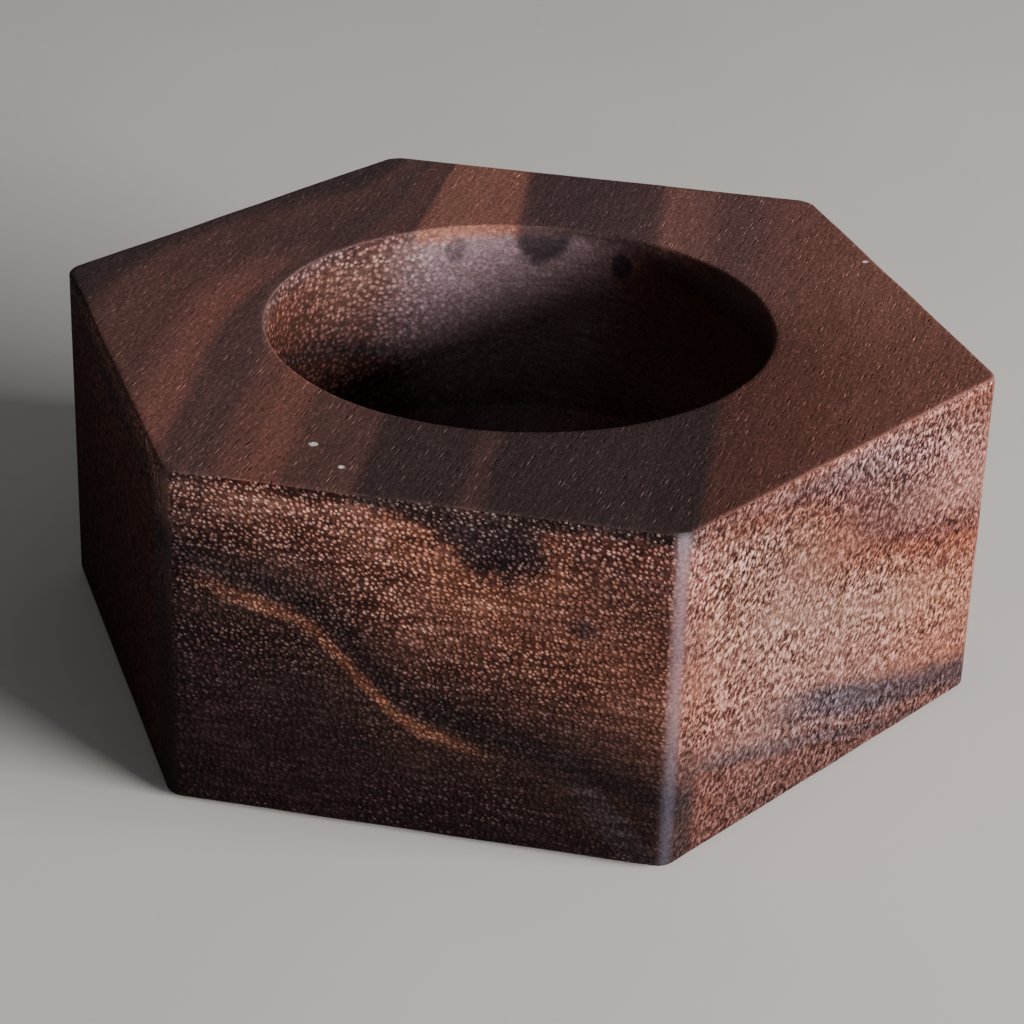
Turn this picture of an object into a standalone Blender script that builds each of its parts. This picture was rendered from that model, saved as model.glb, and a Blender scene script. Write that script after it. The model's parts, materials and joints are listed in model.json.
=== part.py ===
"""Hexagonal desk holder: one solid walnut block with a round blind bore in its
top, standing on a thin cork disc that is glued into a shallow recess below.

Metres, +Z up. The origin is the centre of the face that the holder stands on.
Two corners of the hexagon lie on the X axis, and two of its flats face +Y and -Y.
The grain of the wood runs along Y.
"""

import math

import bmesh
import bpy
from mathutils import Matrix

# Driving dimensions
ACROSS_FLATS = 0.065        # width of the hexagon between two opposite flats
TOTAL_HEIGHT = 0.0275       # from the desk to the top face
CORNER_RADIUS = 0.0015      # rounding of the six upright corners
ARRIS = 0.0003              # eased edges of the block and of the bore's rim
BORE_DIAMETER = 0.040       # straight-sided blind bore for the pot
BORE_DEPTH = 0.017
PAD_DIAMETER = 0.050        # cork disc
PAD_THICKNESS = 0.0015
PAD_PROUD = 0.0003          # how far the cork reaches below the wood
PAD_ARRIS = 0.0002          # eased edges of the cork disc
GAP = 0.0003                # clearance between the cork and its recess

# Mesh resolution
CORNER_SEGMENTS = 4         # facets of each rounded upright corner
ARRIS_SEGMENTS = 2          # facets across each eased edge of the block
ROUND_SEGMENTS = 96         # facets of the bore, the recess and the cork disc
CUTTER_MARGIN = 0.002       # how far a cutter reaches past the face that it opens
MERGE_DISTANCE = 0.00001
SHARP_ANGLE = math.radians(40)

# Derived dimensions
HEX_SIDES = 6
HALF_STEP = math.pi / HEX_SIDES
CIRCUMRADIUS = ACROSS_FLATS / 2 / math.cos(HALF_STEP)
CORNER_SETBACK = CORNER_RADIUS * math.tan(HALF_STEP)
BLOCK_HEIGHT = TOTAL_HEIGHT - PAD_PROUD
BORE_RADIUS = BORE_DIAMETER / 2
BORE_FLOOR = TOTAL_HEIGHT - BORE_DEPTH
RECESS_RADIUS = PAD_DIAMETER / 2 + GAP
RECESS_TOP = PAD_THICKNESS + GAP

# Colours, linear
WALNUT = (0.085, 0.042, 0.028, 1.0)
CORK = (0.42, 0.25, 0.13, 1.0)


def clear_scene():
    for old in list(bpy.data.objects):
        bpy.data.objects.remove(old, do_unlink=True)


def new_collection(name):
    collection = bpy.data.collections.new(name)
    bpy.context.scene.collection.children.link(collection)
    return collection


def new_material(name, color, roughness):
    material = bpy.data.materials.new(name)
    material.use_nodes = True
    shader = material.node_tree.nodes["Principled BSDF"]
    shader.inputs["Base Color"].default_value = color
    shader.inputs["Roughness"].default_value = roughness
    shader.inputs["Metallic"].default_value = 0.0
    return material


def new_object(name, mesh, collection):
    piece = bpy.data.objects.new(name, mesh)
    collection.objects.link(piece)
    return piece


def hexagonal_prism(name, collection):
    """The block's outside with rounded upright corners, its lower face at z = 0."""
    bm = bmesh.new()
    corner_on_x = Matrix.Rotation(HALF_STEP, 4, "Z")
    bmesh.ops.create_cone(bm, cap_ends=True, segments=HEX_SIDES, radius1=CIRCUMRADIUS,
                          radius2=CIRCUMRADIUS, depth=BLOCK_HEIGHT, matrix=corner_on_x)
    bmesh.ops.translate(bm, verts=bm.verts, vec=(0, 0, BLOCK_HEIGHT / 2))
    upright = [edge for edge in bm.edges if abs(edge.verts[0].co.z - edge.verts[1].co.z) > BLOCK_HEIGHT / 2]
    bmesh.ops.bevel(bm, geom=upright, offset=CORNER_SETBACK, offset_type="OFFSET",
                    segments=CORNER_SEGMENTS, profile=0.5, affect="EDGES")
    mesh = bpy.data.meshes.new(name)
    bm.to_mesh(mesh)
    bm.free()
    return new_object(name, mesh, collection)


def turned(name, profile, collection):
    """A body of revolution about Z, from (radius, height) points listed top to bottom."""
    mesh = bpy.data.meshes.new(name)
    steps = range(len(profile) - 1)
    mesh.from_pydata([(radius, 0, height) for radius, height in profile], [(i, i + 1) for i in steps], [])
    piece = new_object(name, mesh, collection)
    screw = piece.modifiers.new("turn", "SCREW")
    screw.steps = ROUND_SEGMENTS
    screw.render_steps = ROUND_SEGMENTS
    screw.use_merge_vertices = True
    screw.merge_threshold = MERGE_DISTANCE
    return piece


def hide_cutter(cutter):
    cutter.hide_render = True
    cutter.display_type = "WIRE"


def bore_cutter(collection):
    """The bore with its eased rim, open past the top face."""
    rim_slope_top = TOTAL_HEIGHT + CUTTER_MARGIN
    profile = [
        (0, rim_slope_top),
        (BORE_RADIUS + ARRIS + CUTTER_MARGIN, rim_slope_top),
        (BORE_RADIUS, TOTAL_HEIGHT - ARRIS),
        (BORE_RADIUS, BORE_FLOOR),
        (0, BORE_FLOOR),
    ]
    return turned("bore_cutter", profile, collection)


def recess_cutter(collection):
    """The shallow seat of the cork disc, open past the block's lower face."""
    profile = [
        (0, RECESS_TOP),
        (RECESS_RADIUS, RECESS_TOP),
        (RECESS_RADIUS, -CUTTER_MARGIN),
        (0, -CUTTER_MARGIN),
    ]
    return turned("recess_cutter", profile, collection)


def add_arris(piece):
    bevel = piece.modifiers.new("arris", "BEVEL")
    bevel.width = ARRIS
    bevel.segments = ARRIS_SEGMENTS
    bevel.limit_method = "ANGLE"
    bevel.angle_limit = SHARP_ANGLE


def subtract(piece, cutter):
    hide_cutter(cutter)
    boolean = piece.modifiers.new(cutter.name, "BOOLEAN")
    boolean.operation = "DIFFERENCE"
    boolean.solver = "EXACT"
    boolean.object = cutter


def shade_round(piece):
    """Fixes the modifiers' result in the mesh and shades its round faces smooth."""
    bpy.context.view_layer.update()
    evaluated = piece.evaluated_get(bpy.context.evaluated_depsgraph_get())
    mesh = bpy.data.meshes.new_from_object(evaluated)
    mesh.shade_smooth()
    mesh.set_sharp_from_angle(angle=SHARP_ANGLE)
    piece.modifiers.clear()
    piece.data = mesh


def make_hex_block(parts, cutters):
    block = hexagonal_prism("hex_block", parts)
    block.location.z = PAD_PROUD
    add_arris(block)
    subtract(block, bore_cutter(cutters))
    subtract(block, recess_cutter(cutters))
    shade_round(block)
    block.data.materials.clear()
    block.data.materials.append(new_material("walnut", WALNUT, 0.5))
    return block


def make_base_pad(parts):
    radius = PAD_DIAMETER / 2
    profile = [
        (0, PAD_THICKNESS),
        (radius - PAD_ARRIS, PAD_THICKNESS),
        (radius, PAD_THICKNESS - PAD_ARRIS),
        (radius, PAD_ARRIS),
        (radius - PAD_ARRIS, 0),
        (0, 0),
    ]
    pad = turned("base_pad", profile, parts)
    shade_round(pad)
    pad.data.materials.append(new_material("cork", CORK, 0.9))
    return pad


def main():
    clear_scene()
    parts = new_collection("hex_pen_holder")
    cutters = new_collection("cutters")
    origin = new_object("holder_origin", None, parts)
    for piece in (make_hex_block(parts, cutters), make_base_pad(parts)):
        piece.parent = origin


main()
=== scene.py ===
"""Looks of the hexagonal walnut desk holder: a finely meshed block with eased, slightly worn
edges in figured, open-pored walnut, and the cork disc under it, on a pale floor in side light.

The frame is in metres, and so are the meshes, lights and camera. Inside the materials lengths
are in millimetres, except the height of a bump. The grain of the wood runs along Y.
"""

import json
import math

import bmesh
import bpy
import numpy as np
from mathutils import Matrix, Vector, noise


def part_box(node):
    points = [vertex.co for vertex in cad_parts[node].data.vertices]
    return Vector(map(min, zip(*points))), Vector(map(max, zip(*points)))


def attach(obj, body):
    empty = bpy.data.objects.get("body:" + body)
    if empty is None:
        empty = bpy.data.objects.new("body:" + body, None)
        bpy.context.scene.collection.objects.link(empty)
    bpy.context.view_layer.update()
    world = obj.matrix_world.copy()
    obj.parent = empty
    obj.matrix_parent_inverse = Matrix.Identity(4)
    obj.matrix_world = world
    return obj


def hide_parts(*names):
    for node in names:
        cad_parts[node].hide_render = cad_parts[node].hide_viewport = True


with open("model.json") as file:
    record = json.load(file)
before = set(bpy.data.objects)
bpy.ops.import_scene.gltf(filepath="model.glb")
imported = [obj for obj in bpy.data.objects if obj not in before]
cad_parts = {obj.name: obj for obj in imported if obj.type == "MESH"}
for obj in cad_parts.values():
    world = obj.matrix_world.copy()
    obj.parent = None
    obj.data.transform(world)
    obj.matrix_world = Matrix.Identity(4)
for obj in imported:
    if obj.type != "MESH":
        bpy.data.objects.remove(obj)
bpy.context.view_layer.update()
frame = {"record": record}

MM = 0.001

# ---------------------------------------------------------------- sizes, from the frame

BLOCK_LOW, BLOCK_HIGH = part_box("hex_block")
PAD_LOW, PAD_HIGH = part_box("base_pad")
MOUNTS = {mount["name"]: mount for mount in frame["record"]["mounts"]}

HALF_FLATS = BLOCK_HIGH.y                       # centre of the hexagon to a flat
BLOCK_TOP = BLOCK_HIGH.z
BLOCK_BOTTOM = BLOCK_LOW.z
BORE_FLOOR = MOUNTS["pot_seat"]["pos_m"][2]
CIRCUMRADIUS = HALF_FLATS / math.cos(math.pi / 6)
# A rounded corner of radius r ends r / cos(30) - r short of the sharp one.
CORNER_RADIUS = (CIRCUMRADIUS - BLOCK_HIGH.x) / (1 / math.cos(math.pi / 6) - 1)
BORE_RADIUS = 0.615 * HALF_FLATS                # the bore's width is 0.615 of the width across flats
PAD_RADIUS = PAD_HIGH.x
RECESS_GAP = 0.3 * MM
RECESS_RADIUS = PAD_RADIUS + RECESS_GAP
RECESS_TOP = PAD_HIGH.z + RECESS_GAP


# ---------------------------------------------------------------- camera, lights, floor

def make_camera():
    """A short telephoto view from the front right, looking down at the block."""
    azimuth, elevation, roll = map(math.radians, (11.72, 27.32, 1.85))
    distance = 0.2484
    target = Vector((-0.0010, 0.0042, 0.0083))
    back = Vector((math.sin(azimuth) * math.cos(elevation),
                   -math.cos(azimuth) * math.cos(elevation),
                   math.sin(elevation)))
    data = bpy.data.cameras.new("camera")
    data.sensor_width = 36
    data.lens = 105.3
    data.clip_start = 0.01
    camera = bpy.data.objects.new("camera", data)
    bpy.context.scene.collection.objects.link(camera)
    turn = (-back).to_track_quat("-Z", "Y").to_matrix() @ Matrix.Rotation(roll, 3, "Z")
    camera.matrix_world = Matrix.Translation(target + distance * back) @ turn.to_4x4()
    bpy.context.scene.camera = camera


def make_softbox(name, azimuth, elevation, distance, size, watts, color):
    """A rectangular lamp that faces the block. Azimuth 0 is on +X and 90 on +Y."""
    a, e = math.radians(azimuth), math.radians(elevation)
    towards = Vector((math.cos(a) * math.cos(e), math.sin(a) * math.cos(e), math.sin(e)))
    data = bpy.data.lights.new(name, "AREA")
    data.shape = "RECTANGLE"
    data.size, data.size_y = size
    data.energy = watts
    data.color = color
    lamp = bpy.data.objects.new(name, data)
    lamp.location = Vector((0, 0, BLOCK_TOP / 2)) + distance * towards
    lamp.rotation_mode = "QUATERNION"
    lamp.rotation_quaternion = (-towards).to_track_quat("-Z", "Y")
    lamp.visible_camera = False
    bpy.context.scene.collection.objects.link(lamp)


def make_lights():
    make_softbox("window", azimuth=-14, elevation=11, distance=0.70, size=(0.56, 0.20),
                 watts=17.5, color=(1.0, 0.98, 0.97))
    make_softbox("fill", azimuth=-28, elevation=23, distance=0.70, size=(0.36, 0.24),
                 watts=0.24, color=(1.0, 0.97, 0.98))
    world = bpy.data.worlds.new("studio")
    world.use_nodes = True
    background = world.node_tree.nodes["Background"]
    background.inputs["Color"].default_value = (0.95, 0.97, 1.0, 1)
    background.inputs["Strength"].default_value = 0.14
    bpy.context.scene.world = world


FLOOR_RADIUS = 6.0
FLOOR_SEGMENTS = 96


def make_floor():
    bm = bmesh.new()
    bmesh.ops.create_circle(bm, cap_ends=True, segments=FLOOR_SEGMENTS, radius=FLOOR_RADIUS)
    mesh = bpy.data.meshes.new("floor")
    bm.to_mesh(mesh)
    bm.free()
    floor = bpy.data.objects.new("floor", mesh)
    floor.location.z = PAD_LOW.z
    bpy.context.scene.collection.objects.link(floor)
    graph = Graph("floor_paper")
    graph.shader.inputs["Roughness"].default_value = 0.9
    graph.shader.inputs["Specular IOR Level"].default_value = 0.2
    mottle = graph.noise(graph.position_mm(), scale=0.02, detail=2)
    graph.link(graph.ramp(mottle, [(0.3, (0.66, 0.63, 0.59)), (0.7, (0.70, 0.67, 0.63))]), "Base Color")
    mesh.materials.append(graph.material)


# ---------------------------------------------------------------- shader graphs

class Graph:
    """A Principled material and short calls that add nodes to it. Sockets go in, a socket comes out."""

    def __init__(self, name):
        self.material = bpy.data.materials.new(name)
        self.material.use_nodes = True
        self.tree = self.material.node_tree
        self.shader = self.tree.nodes["Principled BSDF"]

    def put(self, value, socket):
        if isinstance(value, bpy.types.NodeSocket):
            self.tree.links.new(value, socket)
        elif socket.type == "RGBA" and len(value) == 3:
            socket.default_value = (*value, 1)
        else:
            socket.default_value = value

    def link(self, value, name):
        self.put(value, self.shader.inputs[name])

    def position_mm(self):
        """The point on the object in the row frame, in millimetres."""
        coordinates = self.tree.nodes.new("ShaderNodeTexCoord")
        return self.vector("SCALE", coordinates.outputs["Object"], scale=1000.0)

    def surface_normal(self):
        """The outward direction of the smooth surface in the row frame."""
        return self.tree.nodes.new("ShaderNodeTexCoord").outputs["Normal"]

    def vector(self, operation, a, b=None, scale=None):
        node = self.tree.nodes.new("ShaderNodeVectorMath")
        node.operation = operation
        self.put(a, node.inputs[0])
        if b is not None:
            self.put(b, node.inputs[1])
        if scale is not None:
            self.put(scale, node.inputs["Scale"])
        return node.outputs[0]

    def split(self, vector):
        node = self.tree.nodes.new("ShaderNodeSeparateXYZ")
        self.put(vector, node.inputs[0])
        return node.outputs

    def join(self, x, y, z=0.0):
        node = self.tree.nodes.new("ShaderNodeCombineXYZ")
        for value, socket in zip((x, y, z), node.inputs):
            self.put(value, socket)
        return node.outputs[0]

    def math(self, operation, a, b=0.0, c=0.0, clamp=False):
        node = self.tree.nodes.new("ShaderNodeMath")
        node.operation = operation
        node.use_clamp = clamp
        for value, socket in zip((a, b, c), node.inputs):
            self.put(value, socket)
        return node.outputs[0]

    def add(self, *terms):
        total = terms[0]
        for term in terms[1:]:
            total = self.math("ADD", total, term)
        return total

    def multiply(self, *factors):
        product = factors[0]
        for factor in factors[1:]:
            product = self.math("MULTIPLY", product, factor)
        return product

    def largest(self, *values):
        top = values[0]
        for value in values[1:]:
            top = self.math("MAXIMUM", top, value)
        return top

    def step(self, value, low, high, out_low=0.0, out_high=1.0):
        """A smooth step of value from low to high, which may run downwards."""
        node = self.tree.nodes.new("ShaderNodeMapRange")
        node.interpolation_type = "SMOOTHSTEP"
        for number, socket in zip((value, low, high, out_low, out_high), node.inputs):
            self.put(number, socket)
        return node.outputs[0]

    def noise(self, vector, scale=1.0, detail=2.0, roughness=0.5, color=False):
        node = self.tree.nodes.new("ShaderNodeTexNoise")
        self.put(vector, node.inputs["Vector"])
        node.inputs["Scale"].default_value = scale
        node.inputs["Detail"].default_value = detail
        node.inputs["Roughness"].default_value = roughness
        return node.outputs["Color" if color else "Fac"]

    def voronoi(self, vector, scale=1.0, randomness=1.0, dimensions="2D", feature="F1"):
        """Distance to the nearest scattered point, and that point's random colour."""
        node = self.tree.nodes.new("ShaderNodeTexVoronoi")
        node.voronoi_dimensions = dimensions
        node.feature = feature
        self.put(vector, node.inputs["Vector"])
        node.inputs["Scale"].default_value = scale
        node.inputs["Randomness"].default_value = randomness
        return node.outputs["Distance"], node.outputs.get("Color")

    def ramp(self, value, stops):
        node = self.tree.nodes.new("ShaderNodeValToRGB")
        elements = node.color_ramp.elements
        while len(elements) < len(stops):
            elements.new(1.0)
        for element, (position, color) in zip(elements, stops):
            element.position = position
            element.color = (*color, 1)
        self.put(value, node.inputs[0])
        return node.outputs["Color"]

    def mix(self, factor, a, b, blend="MIX"):
        node = self.tree.nodes.new("ShaderNodeMix")
        node.data_type = "RGBA"
        node.blend_type = blend
        self.put(factor, node.inputs["Factor"])
        self.put(a, node.inputs[6])
        self.put(b, node.inputs[7])
        return node.outputs[2]

    def tint(self, color, by, share=None):
        """The colour multiplied by another one, all of it or only a share."""
        tinted = self.mix(1.0, color, by, "MULTIPLY")
        return tinted if share is None else self.mix(share, color, tinted)

    def between(self, value, at_zero, at_one):
        """A straight line through two given results: where the value is 0, and where it is 1."""
        return self.math("MULTIPLY_ADD", value, at_one - at_zero, at_zero)

    def inverse(self, value, clamp=False):
        return self.math("SUBTRACT", 1.0, value, clamp=clamp)

    def distance_from(self, value, middle):
        return self.math("ABSOLUTE", self.math("SUBTRACT", value, middle))

    def mix_value(self, factor, a, b):
        node = self.tree.nodes.new("ShaderNodeMix")
        node.data_type = "FLOAT"
        self.put(factor, node.inputs["Factor"])
        self.put(a, node.inputs[2])
        self.put(b, node.inputs[3])
        return node.outputs[0]

    def mix_vector(self, factor, a, b):
        node = self.tree.nodes.new("ShaderNodeMix")
        node.data_type = "VECTOR"
        self.put(factor, node.inputs["Factor"])
        self.put(a, node.inputs[4])
        self.put(b, node.inputs[5])
        return node.outputs[1]

    def attribute(self, name):
        node = self.tree.nodes.new("ShaderNodeAttribute")
        node.attribute_name = name
        return node.outputs["Fac"]

    def bump(self, height, distance, strength=1.0, normal=None):
        node = self.tree.nodes.new("ShaderNodeBump")
        node.inputs["Strength"].default_value = strength
        node.inputs["Distance"].default_value = distance
        self.put(height, node.inputs["Height"])
        if normal is not None:
            self.put(normal, node.inputs["Normal"])
        return node.outputs[0]


# ---------------------------------------------------------------- walnut

TOP_Z = BLOCK_TOP / MM
BORE_R = BORE_RADIUS / MM

CLEAR = (1.0, 1.0, 1.0)                         # a tint that changes nothing
AMBER = (0.360, 0.150, 0.092)
GLOW = (0.30, 0.125, 0.078)
FRONT_STAIN = (0.031, 0.023, 0.028)
BORE_STAIN = (0.030, 0.022, 0.028)
# Painted sheen for the lit back wall of the bore.
BORE_PAINTED_SHEEN = (0.212, 0.150, 0.168)
BAND_GREY = (0.040, 0.033, 0.041)
CHIPPED = (0.80, 0.73, 0.67)
# Pale specks in the pores: partly a filling, partly painted glints.
PALE_FILLING_AND_GLINT = (0.46, 0.33, 0.29)

# How far the streaks of the top lean across X for each millimetre of Y, and the pores and fibres.
FIGURE_LEAN = 0.10
PORE_LEAN = -0.10

# Pale specks on the top: x, y and radius.
SPECKS = ((-9.5, -25.7, 0.34), (-6.6, -28.7, 0.26), (25.0, 19.9, 0.24))

# Spacing of the pores in two directions on the top, the end grain and the slanting faces, and of the tears.
TOP_PORES = (0.28, 2.0)
END_PORES = (0.44, 0.33)
SIDE_PORES = (0.28, 0.38)
TEARS = (0.30, 0.42)
FACE_PER_Y = 1.155                              # length along a slanting face for each millimetre of y


def ramp_mm(g, place, low, high, stops):
    """A colour ramp over a length in millimetres, whose stops are given in millimetres too."""
    position = g.math("MULTIPLY_ADD", place, 1 / (high - low), -low / (high - low))
    return g.ramp(position, [((at - low) / (high - low), color) for at, color in stops])


def growth_layer(g, x, y, z):
    """Growth layers that fall to the right and towards the back, with one steep wave."""
    wave_height = g.step(z, 17.0, 25.0, 5.4, 0.8)
    wave = g.multiply(wave_height, g.step(x, -9.5, 0.5))
    slope = g.math("MULTIPLY_ADD", x, 0.28, 4.26)
    set_back = g.math("MULTIPLY_ADD", y, 0.13, 4.2)
    return g.add(z, slope, wave, set_back)


def end_face_figure(g, layer, x, z, drift):
    """The front: near black low down, a thin amber line, then warm brown towards the top, with painted shade
    low down and painted light near the top.
    """
    color = ramp_mm(g, g.add(layer, g.multiply(drift, 2.0)), -4, 44, [
        (0, (0.022, 0.012, 0.012)), (10, (0.025, 0.013, 0.013)), (14, (0.032, 0.018, 0.017)),
        (17.6, (0.046, 0.024, 0.021)), (19.7, (0.040, 0.022, 0.020)), (20.2, (0.026, 0.016, 0.016)),
        (21.4, (0.032, 0.018, 0.017)), (22.8, (0.070, 0.035, 0.029)), (24.6, (0.105, 0.048, 0.038)),
        (26.2, (0.150, 0.068, 0.050)), (27.4, (0.175, 0.078, 0.056)), (29.2, (0.205, 0.086, 0.060)),
        (31.0, (0.165, 0.067, 0.047)), (33.0, (0.120, 0.050, 0.038)), (34.6, (0.140, 0.056, 0.042)),
        (37.0, (0.110, 0.046, 0.037)), (40, (0.12, 0.052, 0.040)),
    ])
    # Painted light and shade: the front is painted much darker low down and lighter and bluer towards its
    # top edge, for how the light falls on it.
    painted_light_by_height = ramp_mm(g, z, 0.0, 28.0, [
        (0, (0.42, 0.37, 0.38)), (8, (0.62, 0.61, 0.63)), (15, (0.78, 0.79, 0.82)),
        (21, (1.10, 1.19, 1.25)), (27, (1.36, 1.54, 1.68))])
    by_side = ramp_mm(g, x, -20.0, 20.0, [
        (-18, CLEAR), (-12, (1.34, 1.32, 1.30)), (-2, (1.26, 1.24, 1.22)), (4, CLEAR)])
    color = g.tint(g.tint(color, painted_light_by_height), by_side)
    off = g.distance_from(g.add(layer, g.multiply(drift, 1.3)), 18.75)
    line = g.multiply(g.step(off, 1.05, 0.05), g.step(x, 7.0, 0.0), g.step(x, -18.5, -12.0))
    return g.mix(g.multiply(line, 0.40), color, AMBER)


def side_figure(g, layer, x, z, drift):
    """The faces cut at a slant, and the bore: pale brown, with grey and purple-brown layers."""
    color = ramp_mm(g, g.add(layer, g.multiply(drift, 2.2)), -14, 56, [
        (-12, (0.060, 0.030, 0.023)), (5, (0.050, 0.026, 0.021)), (15, (0.064, 0.030, 0.024)),
        (22.4, (0.080, 0.038, 0.032)), (23.0, (0.052, 0.034, 0.036)), (23.5, (0.058, 0.036, 0.036)),
        (24.4, (0.112, 0.061, 0.054)), (27.4, (0.135, 0.072, 0.060)),
        (30.5, (0.144, 0.079, 0.065)), (33.0, (0.162, 0.096, 0.078)), (36.0, (0.152, 0.086, 0.069)),
        (38.4, (0.120, 0.050, 0.034)), (39.3, (0.084, 0.038, 0.035)), (40.3, (0.104, 0.058, 0.055)),
        (42.4, (0.165, 0.106, 0.104)), (44.6, (0.125, 0.066, 0.055)), (46.5, (0.126, 0.052, 0.035)),
        (52, (0.120, 0.050, 0.034)),
    ])
    off = g.distance_from(g.add(layer, g.multiply(drift, 2.2)), 26.0)
    band = g.multiply(g.step(off, 2.3, 0.5), g.step(x, 22.5, 28.5))
    color = g.mix(g.multiply(band, 0.95), color, BAND_GREY)
    # Painted shade: the faces on the left, turned away from the window, are painted darker; the right ones
    # are toned down and tinted.
    by_side = ramp_mm(g, x, -40, 40, [
        (-36, (0.62, 0.46, 0.40)), (-20, (0.62, 0.46, 0.40)), (-17, CLEAR), (16.0, CLEAR),
        (20, (0.94, 0.76, 0.68)), (24, (0.90, 0.86, 0.83)), (30, (0.88, 0.80, 0.76)),
        (35, (0.92, 0.68, 0.56))])
    # Painted light and shade: darker towards the bottom and the top edge, lighter between, except on the
    # right faces.
    painted_light_by_height = ramp_mm(g, z, 0.0, 28.0, [
        (0, (0.70, 0.70, 0.74)), (5, (1.05, 1.05, 1.07)), (10, (1.12, 1.14, 1.15)),
        (20, (1.08, 1.09, 1.10)), (26, (0.80, 0.78, 0.80))])
    painted_light_by_height = g.mix(g.step(x, 16.0, 19.0), CLEAR, painted_light_by_height)
    return g.tint(g.tint(color, painted_light_by_height), by_side)


def cap_figure(g, across, y, drift):
    """The streaks of the top face, which differ a little between its front and its back."""
    place = g.add(across, g.multiply(drift, 1.5))
    back = ramp_mm(g, place, -42, 42, [
        (-36, (0.036, 0.023, 0.023)), (-34.5, (0.044, 0.026, 0.025)), (-33, (0.066, 0.034, 0.030)),
        (-27, (0.058, 0.032, 0.030)), (-25, (0.054, 0.031, 0.029)), (-20.5, (0.052, 0.030, 0.029)),
        (-18.5, (0.070, 0.035, 0.032)), (-12.5, (0.066, 0.033, 0.030)), (-11.2, (0.052, 0.028, 0.027)),
        (-10.4, (0.135, 0.060, 0.046)), (-7, (0.160, 0.070, 0.052)), (-2.9, (0.150, 0.063, 0.048)),
        (-2.2, (0.052, 0.029, 0.029)), (2, (0.045, 0.027, 0.027)), (8.6, (0.056, 0.032, 0.031)),
        (9.8, (0.118, 0.055, 0.047)), (13.4, (0.100, 0.047, 0.041)), (14.6, (0.072, 0.036, 0.034)),
        (17.6, (0.076, 0.038, 0.035)), (19, (0.092, 0.042, 0.036)), (24, (0.102, 0.045, 0.037)),
        (29, (0.122, 0.053, 0.041)), (33, (0.108, 0.047, 0.037)),
    ])
    front = ramp_mm(g, place, -42, 42, [
        (-36, (0.030, 0.020, 0.020)), (-34.5, (0.040, 0.024, 0.023)), (-33, (0.076, 0.037, 0.031)),
        (-27.6, (0.074, 0.036, 0.030)), (-26.3, (0.100, 0.045, 0.038)), (-25.4, (0.122, 0.052, 0.043)),
        (-23.4, (0.112, 0.048, 0.040)), (-22.4, (0.062, 0.033, 0.030)), (-19.2, (0.062, 0.033, 0.030)),
        (-18.2, (0.092, 0.042, 0.035)), (-16.4, (0.096, 0.043, 0.035)), (-15.8, (0.118, 0.050, 0.039)),
        (-14, (0.110, 0.047, 0.037)), (-13, (0.070, 0.035, 0.029)), (-8.2, (0.066, 0.033, 0.028)),
        (-7.4, (0.034, 0.021, 0.020)), (-0.8, (0.034, 0.021, 0.020)), (-0.3, (0.050, 0.026, 0.024)),
        (0.9, (0.050, 0.026, 0.024)), (1.5, (0.029, 0.019, 0.018)), (12.0, (0.032, 0.020, 0.019)),
        (12.9, (0.028, 0.018, 0.017)), (16.2, (0.028, 0.018, 0.017)), (17.0, (0.056, 0.024, 0.019)),
        (21, (0.066, 0.027, 0.021)), (27, (0.086, 0.036, 0.028)), (32, (0.098, 0.041, 0.031)),
    ])
    both = g.mix(g.step(y, -2.0, 14.0), front, back)
    # Painted light: the whole top is painted about half again lighter and a little bluer, for the light that
    # falls on it.
    return g.tint(both, (1.52, 1.54, 1.56))


def blob(g, place, centre, radii, soften, wobble):
    """1 inside a soft-edged oval round a point and 0 outside it. It has as many axes as radii."""
    total = wobble
    for value, middle, radius in zip(place, centre, radii):
        off = g.math("DIVIDE", g.math("SUBTRACT", value, middle), radius)
        total = g.add(total, g.multiply(off, off))
    return g.step(total, 1.0 + soften, 1.0 - soften)


def from_axis(g, x, y):
    return g.math("SQRT", g.add(g.multiply(x, x), g.multiply(y, y)))


def mark_front(g, color, x, z, near_front, wobble):
    """A dark patch hangs from the front's top edge, with a glow under it, and a dark spot beside it."""
    leaning = g.add(x, g.multiply(z, 0.25))
    glow = blob(g, (leaning, z), (10.0, 27.2), (6.4, 8.2), 0.30, wobble)
    color = g.mix(g.multiply(glow, near_front, 0.55), color, GLOW)
    patch = blob(g, (leaning, z), (11.6, 28.0), (4.0, 6.7), 0.50, wobble)
    wedge = blob(g, (x, z), (3.0, 28.3), (7.0, 2.6), 0.45, wobble)
    spot = blob(g, (x, z), (11.9, 19.3), (0.9, 0.8), 0.85, wobble)
    steeper = g.add(x, g.multiply(z, 0.7))
    low_right = blob(g, (steeper, z), (17.0, 3.0), (1.8, 3.6), 0.5, wobble)
    dark = g.largest(patch, wedge, g.multiply(spot, 0.75), g.multiply(low_right, 0.6))
    return g.mix(g.multiply(dark, near_front, 0.92), color, FRONT_STAIN)


def mark_bore(g, color, place, wobble):
    """Inside the bore the wood is painted darker, as shade in the hollow, with a pale lilac patch at the
    back left that is a painted sheen, and dark ones by it.
    """
    x, y, z = place
    in_bore = g.step(from_axis(g, x, y), BORE_R + 0.5, BORE_R + 0.1)
    # Painted shade: the whole bore wall is darkened.
    color = g.tint(color, (0.84, 0.81, 0.82), in_bore)
    # Painted sheen: a pale lilac patch on the lit back left wall.
    pale = blob(g, place, (-6.2, 18.6, 22.0), (9.8, 7.0, 12.0), 0.85, wobble)
    color = g.mix(g.multiply(pale, in_bore, 0.80), color, BORE_PAINTED_SHEEN)
    stain = blob(g, place, (-2.4, 19.8, 27.4), (2.4, 4.0, 3.4), 0.40, wobble)
    knot = blob(g, place, (4.6, 19.5, 24.8), (0.9, 2.0, 1.1), 0.5, wobble)
    mark = blob(g, place, (-9.4, 17.6, 25.6), (0.8, 2.0, 1.2), 0.6, wobble)
    dark = g.largest(stain, knot, g.multiply(mark, 0.6))
    return g.mix(g.multiply(dark, in_bore, 0.9), color, BORE_STAIN)


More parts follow.
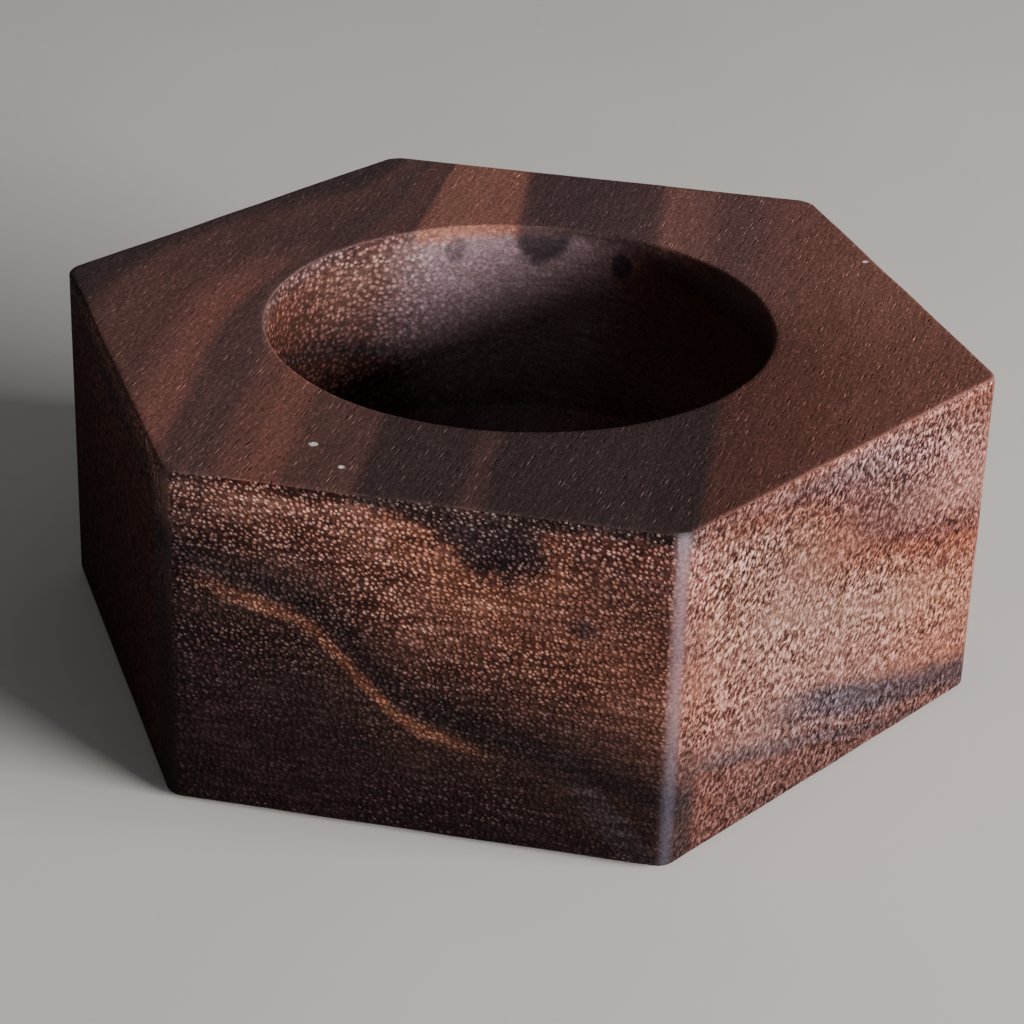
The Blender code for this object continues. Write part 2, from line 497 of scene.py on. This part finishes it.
def walnut_figure(g, p, x, y, z, streak):
    """The wood's large colour pattern, and the slow drift that makes its lines uneven."""
    slow = g.noise(g.vector("MULTIPLY", p, (0.10, 0.025, 0.16)), detail=3)
    fine = g.noise(g.vector("MULTIPLY", p, (0.9, 0.05, 0.9)), detail=3, roughness=0.6)
    drift = g.add(g.math("SUBTRACT", slow, 0.5), g.multiply(g.math("SUBTRACT", fine, 0.5), 0.6))
    wobble = g.multiply(drift, 1.6)

    layer = growth_layer(g, x, y, z)
    near_front = g.step(y, -29.0, -31.0)
    color = g.mix(near_front, side_figure(g, layer, x, z, drift), end_face_figure(g, layer, x, z, drift))
    color = mark_front(g, color, x, z, near_front, wobble)
    color = mark_bore(g, color, (x, y, z), wobble)

    # The top's own streaks reach about a millimetre down the sides, and less at the worn right corners,
    # which carry a painted glare.
    depth = g.math("SUBTRACT", TOP_Z, z)
    cap_depth = g.add(0.9, g.multiply(drift, 2.0))
    below_cap = g.step(g.math("SUBTRACT", depth, cap_depth), -0.5, 0.6)
    at_corner = g.multiply(g.attribute("corner"), g.step(x, 8.0, 12.0), g.step(depth, 0.1, 0.6))
    color = g.mix(g.largest(below_cap, at_corner), cap_figure(g, streak, y, drift), color)

    for speck_x, speck_y, radius in SPECKS:
        speck = blob(g, (x, y, z), (speck_x, speck_y, TOP_Z), (radius,) * 3, 0.3, wobble)
        color = g.mix(g.multiply(speck, 0.95), color, CHIPPED)
    return color, drift


def cells(g, first, second, spacing):
    """Two lengths counted in cells of the given spacing, as a point on a plane."""
    return g.join(g.multiply(first, 1 / spacing[0]), g.multiply(second, 1 / spacing[1]))


class Cut:
    """Which way the wood is cut at a point, as numbers from 0 to 1."""

    def __init__(self, g, x, y):
        normal_y, normal_z = (g.math("ABSOLUTE", part) for part in g.split(g.surface_normal())[1:])
        self.on_top = g.math("GREATER_THAN", normal_z, 0.6)
        self.on_side = g.inverse(self.on_top)
        self.in_bore = g.math("LESS_THAN", from_axis(g, x, y), BORE_R + 0.5)
        self.on_end = g.largest(g.math("GREATER_THAN", normal_y, 0.6), self.in_bore)
        self.on_slant = g.multiply(self.on_side, g.inverse(self.on_end))
        self.smooth_bore = g.multiply(self.in_bore, g.step(x, -19.0, -8.0))


def walnut_pores(g, cut, x, y, z, across, bend):
    """Open pores: short streaks on the flat-sawn top, beads on the end grain, slanting dashes between.

    Returns the distance from the nearest pore in pore radii, and two numbers from 0 to 1 that
    differ from pore to pore.
    """
    bend_x, bend_y, bend_z = bend
    top = cells(g, g.add(across, g.multiply(bend_x, 0.3)), g.add(y, bend_y), TOP_PORES)

    along_bore = g.multiply(g.math("ARCTAN2", x, y), BORE_R)
    end_x = g.add(bend_x, g.mix_value(cut.in_bore, x, along_bore))
    end_z = g.add(z, g.multiply(x, 0.16), bend_z)
    bead_scale = g.mix_value(cut.in_bore, 1.0, 0.68)
    end = g.vector("SCALE", cells(g, end_x, end_z, END_PORES), scale=bead_scale)

    rising = g.math("SUBTRACT", g.add(z, bend_z), g.multiply(y, 0.70))
    side = cells(g, g.add(across, bend_x), rising, SIDE_PORES)

    place = g.mix_vector(cut.on_top, g.mix_vector(cut.on_end, side, end), top)
    distance, random = g.voronoi(place, randomness=0.92)
    pick_a, size, pick_b = g.split(random)
    side_radius = g.step(size, 0.0, 1.0, 0.38, 0.58)
    top_radius = g.step(size, 0.0, 1.0, 0.16, 0.31)
    radius = g.mix_value(cut.on_top, side_radius, top_radius)
    return g.math("DIVIDE", distance, radius), pick_a, pick_b


def torn_grain(g, x, y, z, bend_x):
    """Uneven grain mapped along the slanting faces, so that it isn't stretched there."""
    along_face = g.add(g.multiply(y, FACE_PER_Y), g.multiply(z, -0.30), bend_x)
    place = g.join(g.multiply(along_face, 1 / TEARS[0]), g.multiply(z, 1 / TEARS[1]), g.multiply(x, 0.3))
    return g.noise(place, detail=3, roughness=0.68)


def shade_pits(g, color, pit_share, reach, pick):
    """The top's pores: some painted dark, as shade inside them, some pale."""
    dark = g.ramp(reach, [(0.0, (0.38, 0.34, 0.34)), (0.28, (0.66, 0.62, 0.62)), (0.5, CLEAR)])
    pale = g.ramp(reach, [(0.0, (2.5, 2.3, 2.2)), (0.24, (1.8, 1.7, 1.66)), (0.5, CLEAR)])
    return g.tint(color, g.mix(g.step(pick, 0.40, 0.50), dark, pale), pit_share)


def shade_beads(g, color, bead_share, reach, pick):
    """The sides' pores: painted glints on pale beads of uneven brightness, and painted shade in the dark
    rings round them.
    """
    bead_glint_and_shade = g.ramp(reach, [
        (0.0, (2.30, 2.12, 2.02)), (0.15, (1.75, 1.66, 1.62)), (0.30, (1.05, 1.00, 1.00)),
        (0.44, (0.52, 0.46, 0.46)), (0.60, (0.28, 0.22, 0.22))])
    uneven = g.ramp(pick, [(0.0, (0.50, 0.48, 0.48)), (0.6, CLEAR), (1.0, (1.45, 1.42, 1.40))])
    return g.tint(color, g.tint(bead_glint_and_shade, uneven), bead_share)


def shade_tears(g, color, cut, tear_grain, torn, unworn, z):
    """Torn fibres on the sides, most of all on the slanting faces and along their top edges, with painted
    bluish-white highlights on them and painted shade between them.
    """
    torn_glints_and_shade = g.ramp(tear_grain, [
        (0.38, (0.09, 0.045, 0.045)), (0.445, (0.31, 0.21, 0.19)), (0.49, (0.80, 0.70, 0.66)),
        (0.54, (1.22, 1.16, 1.12)), (0.59, (1.90, 2.05, 2.12)), (0.65, (2.60, 3.10, 3.40))])
    share = g.multiply(cut.on_side, unworn, g.between(cut.smooth_bore, 1.0, 0.45),
                       g.mix_value(cut.on_slant, 0.34, g.between(torn, 0.66, 1.0)))
    color = g.tint(color, torn_glints_and_shade, share)
    # Painted highlights along the top edges of the slanting faces, with painted shade between.
    edge_glints_and_shade = g.ramp(tear_grain, [
        (0.43, (0.46, 0.36, 0.38)), (0.50, (0.98, 0.97, 0.99)), (0.58, (1.42, 1.55, 1.62))])
    return g.tint(color, edge_glints_and_shade, g.multiply(cut.on_slant, unworn, g.step(z, 19.0, 23.5), 0.8))


def burnish_and_glare(g, color, wear_and_glare, grit, x, z):
    """Handled corners are paler and greyer, above all the front right and back right ones, which carry a
    painted bluish glare that is brightest near the top.
    """
    share = g.multiply(wear_and_glare, g.step(grit, 0.30, 0.62, 0.45, 1.0),
                       g.step(x, 0.0, 8.0, 0.15, 1.0), g.step(x, 34.0, 30.0, 0.15, 1.0))
    # Painted highlight: a bluish glare on the lit corners, paler still near the top.
    worn_glare = g.mix(1.0, g.tint(color, (0.70, 0.90, 1.15)), (0.030, 0.028, 0.038), "ADD")
    worn_glare = g.mix(g.multiply(g.step(z, 23.5, 27.2), 0.5), worn_glare, (0.145, 0.130, 0.145))
    return g.mix(share, color, worn_glare)


def make_walnut():
    g = Graph("walnut")
    p = g.position_mm()
    x, y, z = g.split(p)

    # The top's streaks run along Y, leaning a little, and turn the other way at the back left.
    past = g.math("MAXIMUM", g.add(y, 8.0), 0.0)
    turned = g.multiply(g.step(x, -12.0, -20.0), past, past, -0.017)
    streak = g.add(g.add(x, g.multiply(y, FIGURE_LEAN)), turned)
    color, drift = walnut_figure(g, p, x, y, z, streak)

    # Fibres, grit and flecks. The fibres lean the other way from the streaks, as the pores do.
    across = g.add(x, g.multiply(y, PORE_LEAN))
    grain = g.join(across, y, z)
    fibre = g.noise(g.vector("MULTIPLY", grain, (5.0, 0.30, 5.0)), detail=3, roughness=0.62)
    color = g.tint(color, g.ramp(fibre, [(0.28, (0.76, 0.74, 0.74)), (0.72, (1.24, 1.23, 1.22))]))
    grit = g.noise(g.vector("MULTIPLY", p, (1.0, 0.55, 1.0)), scale=4.0, detail=2, roughness=0.75)
    color = g.tint(color, g.ramp(grit, [
        (0.30, (0.72, 0.70, 0.70)), (0.52, CLEAR), (0.75, (1.50, 1.46, 1.44))]))
    fleck = g.noise(g.vector("MULTIPLY", grain, (5.5, 1.5, 5.5)), detail=2, roughness=0.6)
    fleck_shade = g.ramp(fleck, [
        (0.32, (0.62, 0.60, 0.60)), (0.42, CLEAR), (0.58, CLEAR), (0.66, (1.55, 1.50, 1.46)),
        (0.74, (2.1, 2.0, 1.95))])

    cut = Cut(g, x, y)
    bend = g.noise(p, scale=0.20, detail=2, color=True)
    bend = g.split(g.vector("SCALE", bend, scale=0.9))
    q, pick_a, pick_b = walnut_pores(g, cut, x, y, z, across, bend)
    reach = g.multiply(q, 0.5)
    tear_grain = torn_grain(g, x, y, z, bend[0])

    # How much of each kind of roughness a point has, which also sets where the painted glints and shade of
    # the pores and tears go.
    torn = g.step(g.noise(g.vector("MULTIPLY", p, (0.10, 0.10, 0.22)), detail=2), 0.42, 0.60)
    wear_and_glare = g.math("POWER", g.attribute("corner"), 1.6)
    unworn = g.inverse(wear_and_glare, clamp=True)
    pit_share = g.multiply(cut.on_top, g.step(pick_a, 0.45, 1.0))
    bead_share = g.multiply(cut.on_side, unworn, g.between(torn, 0.70, 1.0),
                            g.between(cut.smooth_bore, 1.0, 0.12),
                            g.between(cut.on_slant, 1.0, 0.32), g.step(z, 6.0, 20.0, 0.45, 1.0))

    color = g.tint(color, fleck_shade, g.multiply(cut.on_top, 0.85))
    color = shade_pits(g, color, pit_share, reach, pick_b)
    color = shade_beads(g, color, bead_share, reach, pick_a)
    color = shade_tears(g, color, cut, tear_grain, torn, unworn, z)

    # Some pores hold a pale filling, partly a real filling and partly painted glints, more of them near the
    # top edge and where the cut is torn.
    filling_and_glint = g.multiply(g.step(pick_b, 0.66, 0.74), g.step(q, 0.80, 0.35))
    near_edge = g.multiply(g.step(z, 22.0, 27.0), g.between(cut.in_bore, 0.40, 0.10))
    on_cut = g.multiply(bead_share, g.add(0.07, near_edge, g.multiply(torn, 0.12)))
    filling_and_glint = g.multiply(filling_and_glint, g.add(on_cut, g.multiply(pit_share, 0.15)))
    color = g.mix(filling_and_glint, color, PALE_FILLING_AND_GLINT)

    color = burnish_and_glare(g, color, wear_and_glare, grit, x, z)

    g.link(color, "Base Color")
    uneven = g.multiply(g.math("SUBTRACT", grit, 0.5), 0.2)
    g.link(g.add(0.82, g.multiply(drift, 0.2), uneven), "Roughness")
    g.shader.inputs["Specular IOR Level"].default_value = 0.08
    mound = g.inverse(g.multiply(q, q), clamp=True)
    height = g.multiply(mound, g.math("SUBTRACT", bead_share, g.multiply(pit_share, 0.55)))
    fine = g.bump(g.add(g.multiply(fibre, 0.7), grit), distance=0.00003, strength=0.7)
    g.link(g.bump(height, distance=0.00013, normal=fine), "Normal")
    return g.material


# ---------------------------------------------------------------- cork

GRANULE_SIZE = 1.3


def make_cork():
    g = Graph("cork")
    p = g.position_mm()
    granule = g.voronoi(p, scale=1 / GRANULE_SIZE, dimensions="3D")[1]
    edge = g.voronoi(p, scale=1 / GRANULE_SIZE, dimensions="3D", feature="DISTANCE_TO_EDGE")[0]
    color = g.ramp(g.split(granule)[0], [
        (0.0, (0.28, 0.15, 0.075)), (0.5, (0.43, 0.26, 0.14)), (1.0, (0.56, 0.37, 0.21))])
    crumbs = g.noise(p, scale=3.0, detail=3)
    color = g.tint(color, g.ramp(crumbs, [(0.3, (0.7, 0.68, 0.66)), (0.7, (1.15, 1.15, 1.15))]))
    color = g.mix(g.step(edge, 0.06, 0.0), color, (0.09, 0.045, 0.025))
    g.link(color, "Base Color")
    g.shader.inputs["Roughness"].default_value = 0.92
    g.shader.inputs["Specular IOR Level"].default_value = 0.15
    height = g.add(g.step(edge, 0.0, 0.12), g.multiply(crumbs, 0.6))
    g.link(g.bump(height, distance=0.00008), "Normal")
    return g.material


# ---------------------------------------------------------------- meshes from rings of points

FLAT_COLUMNS = 64           # points along each flat of the hexagon
CORNER_COLUMNS = 12         # points round each rounded corner
PAD_COLUMNS = 180           # points round the cork disc

# Rings and steps along each stretch of the block's section, from the bore's floor outwards, then the disc's.
BORE_FLOOR_RINGS = 34
WALL_STEPS = 33
TOP_STEPS = 35
SIDE_STEPS = 55
UNDERSIDE_STEPS = 17
RECESS_WALL_STEPS = 3
RECESS_STEPS = 13
FILLET_STEPS = 4
ARRIS_STEPS = 5
PAD_FACE_RINGS = 40
PAD_EDGE_STEPS = 3

QUARTER_TURN = math.pi / 2
SHARP_ANGLE = math.radians(50)

# Radius of the flat cap that closes each mesh in the middle.
BLOCK_CAP = 0.6 * MM
PAD_CAP = 0.5 * MM

BORE_FILLET = 0.35 * MM
PAD_ARRIS = 0.2 * MM

# Eased edges, in millimetres: the size, and how much it wavers along the edge.
RIM_EASE, RIM_WAVER = 0.26, 0.10
EDGE_EASE, EDGE_WAVER = 0.30, 0.12
CORNER_WEAR = 0.10          # how much more the top's corners are rounded over


def steps(start, end, count):
    """The ends of so many equal steps from start to end, without the start itself."""
    return np.linspace(start, end, count + 1)[1:]


def hexagon_columns():
    """Points round the hexagon's outline and the outward normals there, as two arrays."""
    points, normals, corner = [], [], []
    arc_centre = CIRCUMRADIUS - CORNER_RADIUS / math.cos(math.pi / 6)

    def arc_point(turn, angle):
        centre = arc_centre * np.array((math.cos(turn), math.sin(turn)))
        normal = np.array((math.cos(angle), math.sin(angle)))
        return centre + CORNER_RADIUS * normal, normal

    for side in range(6):
        turn = side * math.pi / 3
        for i in range(CORNER_COLUMNS + 1):
            share = i / CORNER_COLUMNS
            point, normal = arc_point(turn, turn + (share - 0.5) * math.pi / 3)
            points.append(point)
            normals.append(normal)
            corner.append(math.sin(math.pi * share))
        start, flat_normal = points[-1], normals[-1]
        end, _ = arc_point(turn + math.pi / 3, turn + math.pi / 6)
        for i in range(1, FLAT_COLUMNS):
            points.append(start + (end - start) * i / FLAT_COLUMNS)
            normals.append(flat_normal)
            corner.append(0.0)
    return np.array(points), np.array(normals), np.array(corner)


def ring(plane_points, height):
    heights = np.broadcast_to(height, len(plane_points))
    return np.column_stack([plane_points, heights])


def mesh_from_rings(name, rings, attributes=None):
    """Joins each ring to the next with quads and closes both ends with flat caps."""
    count = len(rings[0])
    vertices = np.concatenate(rings)
    faces = []
    for level in range(len(rings) - 1):
        low, high = level * count, (level + 1) * count
        for i in range(count):
            j = (i + 1) % count
            faces.append((low + i, low + j, high + j, high + i))
    faces.append(tuple(reversed(range(count))))
    faces.append(tuple(range((len(rings) - 1) * count, len(rings) * count)))
    mesh = bpy.data.meshes.new(name)
    mesh.from_pydata(vertices.tolist(), [], faces)
    for key, values in (attributes or {}).items():
        layer = mesh.attributes.new(key, "FLOAT", "POINT")
        layer.data.foreach_set("value", np.concatenate(values).astype(np.float32))
    bm = bmesh.new()
    bm.from_mesh(mesh)
    bmesh.ops.recalc_face_normals(bm, faces=bm.faces)
    bm.to_mesh(mesh)
    bm.free()
    mesh.shade_smooth()
    return mesh


def waver(points, wavelength, seed):
    """Smooth noise from -1 to 1 at each point."""
    shift = Vector((seed * 7.3, seed * 3.1, seed * 5.7))
    return np.array([noise.noise(Vector(point) / wavelength + shift) for point in points])


def block_rings():
    """The block's section as rings, from the bore's floor over the top and sides to the recess."""
    outline, normals, corner = hexagon_columns()
    polar = np.arctan2(outline[:, 1], outline[:, 0])
    spoke = np.column_stack([np.cos(polar), np.sin(polar)])
    zeros = np.zeros(len(outline))
    rings, corners = [], []

    def put(points, height, at_corner=zeros):
        rings.append(ring(points, height))
        corners.append(at_corner)

    # Bore: floor, a small fillet, wall, eased rim.
    fillet_start = BORE_RADIUS - BORE_FILLET
    for radius in np.linspace(BLOCK_CAP, fillet_start, BORE_FLOOR_RINGS):
        put(spoke * radius, BORE_FLOOR)
    for angle in steps(0, QUARTER_TURN, FILLET_STEPS):
        put(spoke * (fillet_start + BORE_FILLET * math.sin(angle)),
            BORE_FLOOR + BORE_FILLET * (1 - math.cos(angle)))
    rim_noise = waver(ring(spoke * BORE_RADIUS, BLOCK_TOP), wavelength=5 * MM, seed=1)
    rim = (RIM_EASE + RIM_WAVER * rim_noise) * MM
    wall_height = BLOCK_TOP - rim - BORE_FLOOR - BORE_FILLET
    for share in steps(0, 1, WALL_STEPS):
        put(spoke * BORE_RADIUS, BORE_FLOOR + BORE_FILLET + wall_height * share)
    for angle in steps(0, QUARTER_TURN, ARRIS_STEPS):
        radius = BORE_RADIUS + rim * (1 - math.cos(angle))
        put(spoke * radius[:, None], BLOCK_TOP - rim * (1 - math.sin(angle)))

    # Top face, from the rim out to the eased edge.
    edge_noise = waver(ring(outline, BLOCK_TOP), wavelength=6 * MM, seed=2)
    edge = (EDGE_EASE + EDGE_WAVER * edge_noise + CORNER_WEAR * corner) * MM
    inner = spoke * (BORE_RADIUS + rim)[:, None]
    outer = outline - normals * edge[:, None]
    for share in steps(0, 1, TOP_STEPS):
        put(inner + (outer - inner) * share, BLOCK_TOP)
    for angle in steps(0, QUARTER_TURN, ARRIS_STEPS):
        inset = edge * (1 - math.sin(angle))
        put(outline - normals * inset[:, None], BLOCK_TOP - edge * (1 - math.cos(angle)), corner)

    # Sides and the eased lower edge.
    low_noise = waver(ring(outline, BLOCK_BOTTOM), wavelength=6 * MM, seed=3)
    low_edge = (EDGE_EASE + EDGE_WAVER * low_noise) * MM
    for share in steps(0, 1, SIDE_STEPS):
        height = BLOCK_TOP - edge - (BLOCK_TOP - edge - BLOCK_BOTTOM - low_edge) * share
        put(outline, height, corner)
    for angle in steps(0, QUARTER_TURN, ARRIS_STEPS):
        inset = low_edge * (1 - math.cos(angle))
        put(outline - normals * inset[:, None], BLOCK_BOTTOM + low_edge * (1 - math.sin(angle)), corner)

    # Lower face, then the recess for the cork.
    inner = outline - normals * low_edge[:, None]
    outer = spoke * RECESS_RADIUS
    for share in steps(0, 1, UNDERSIDE_STEPS):
        put(inner + (outer - inner) * share, BLOCK_BOTTOM)
    for height in steps(BLOCK_BOTTOM, RECESS_TOP, RECESS_WALL_STEPS):
        put(outer, height)
    for radius in steps(RECESS_RADIUS, BLOCK_CAP, RECESS_STEPS):
        put(spoke * radius, RECESS_TOP)
    return rings, corners


def make_block():
    rings, corners = block_rings()
    mesh = mesh_from_rings("walnut_block", rings, {"corner": corners})
    mesh.set_sharp_from_angle(angle=SHARP_ANGLE)
    block = bpy.data.objects.new("walnut_block", mesh)
    bpy.context.scene.collection.objects.link(block)
    mesh.materials.append(make_walnut())
    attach(block, "root")
    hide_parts("hex_block")


def make_pad():
    turns = np.linspace(0, 2 * math.pi, PAD_COLUMNS, endpoint=False)
    spoke = np.column_stack([np.cos(turns), np.sin(turns)])
    flat_radius = PAD_RADIUS - PAD_ARRIS
    rings = [ring(spoke * radius, PAD_LOW.z) for radius in np.linspace(PAD_CAP, flat_radius, PAD_FACE_RINGS)]
    for angle in steps(0, QUARTER_TURN, PAD_EDGE_STEPS):
        rings.append(ring(spoke * (flat_radius + PAD_ARRIS * math.sin(angle)),
                          PAD_LOW.z + PAD_ARRIS * (1 - math.cos(angle))))
    for height in steps(PAD_LOW.z + PAD_ARRIS, PAD_HIGH.z - PAD_ARRIS, PAD_EDGE_STEPS):
        rings.append(ring(spoke * PAD_RADIUS, height))
    for angle in steps(0, QUARTER_TURN, PAD_EDGE_STEPS):
        rings.append(ring(spoke * (flat_radius + PAD_ARRIS * math.cos(angle)),
                          PAD_HIGH.z - PAD_ARRIS * (1 - math.sin(angle))))
    rings.append(ring(spoke * PAD_CAP, PAD_HIGH.z))
    mesh = mesh_from_rings("cork_pad", rings)
    mesh.set_sharp_from_angle(angle=SHARP_ANGLE)
    pad = bpy.data.objects.new("cork_pad", mesh)
    bpy.context.scene.collection.objects.link(pad)
    mesh.materials.append(make_cork())
    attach(pad, "root")
    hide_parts("base_pad")


make_camera()
make_lights()
make_floor()
make_block()
make_pad()
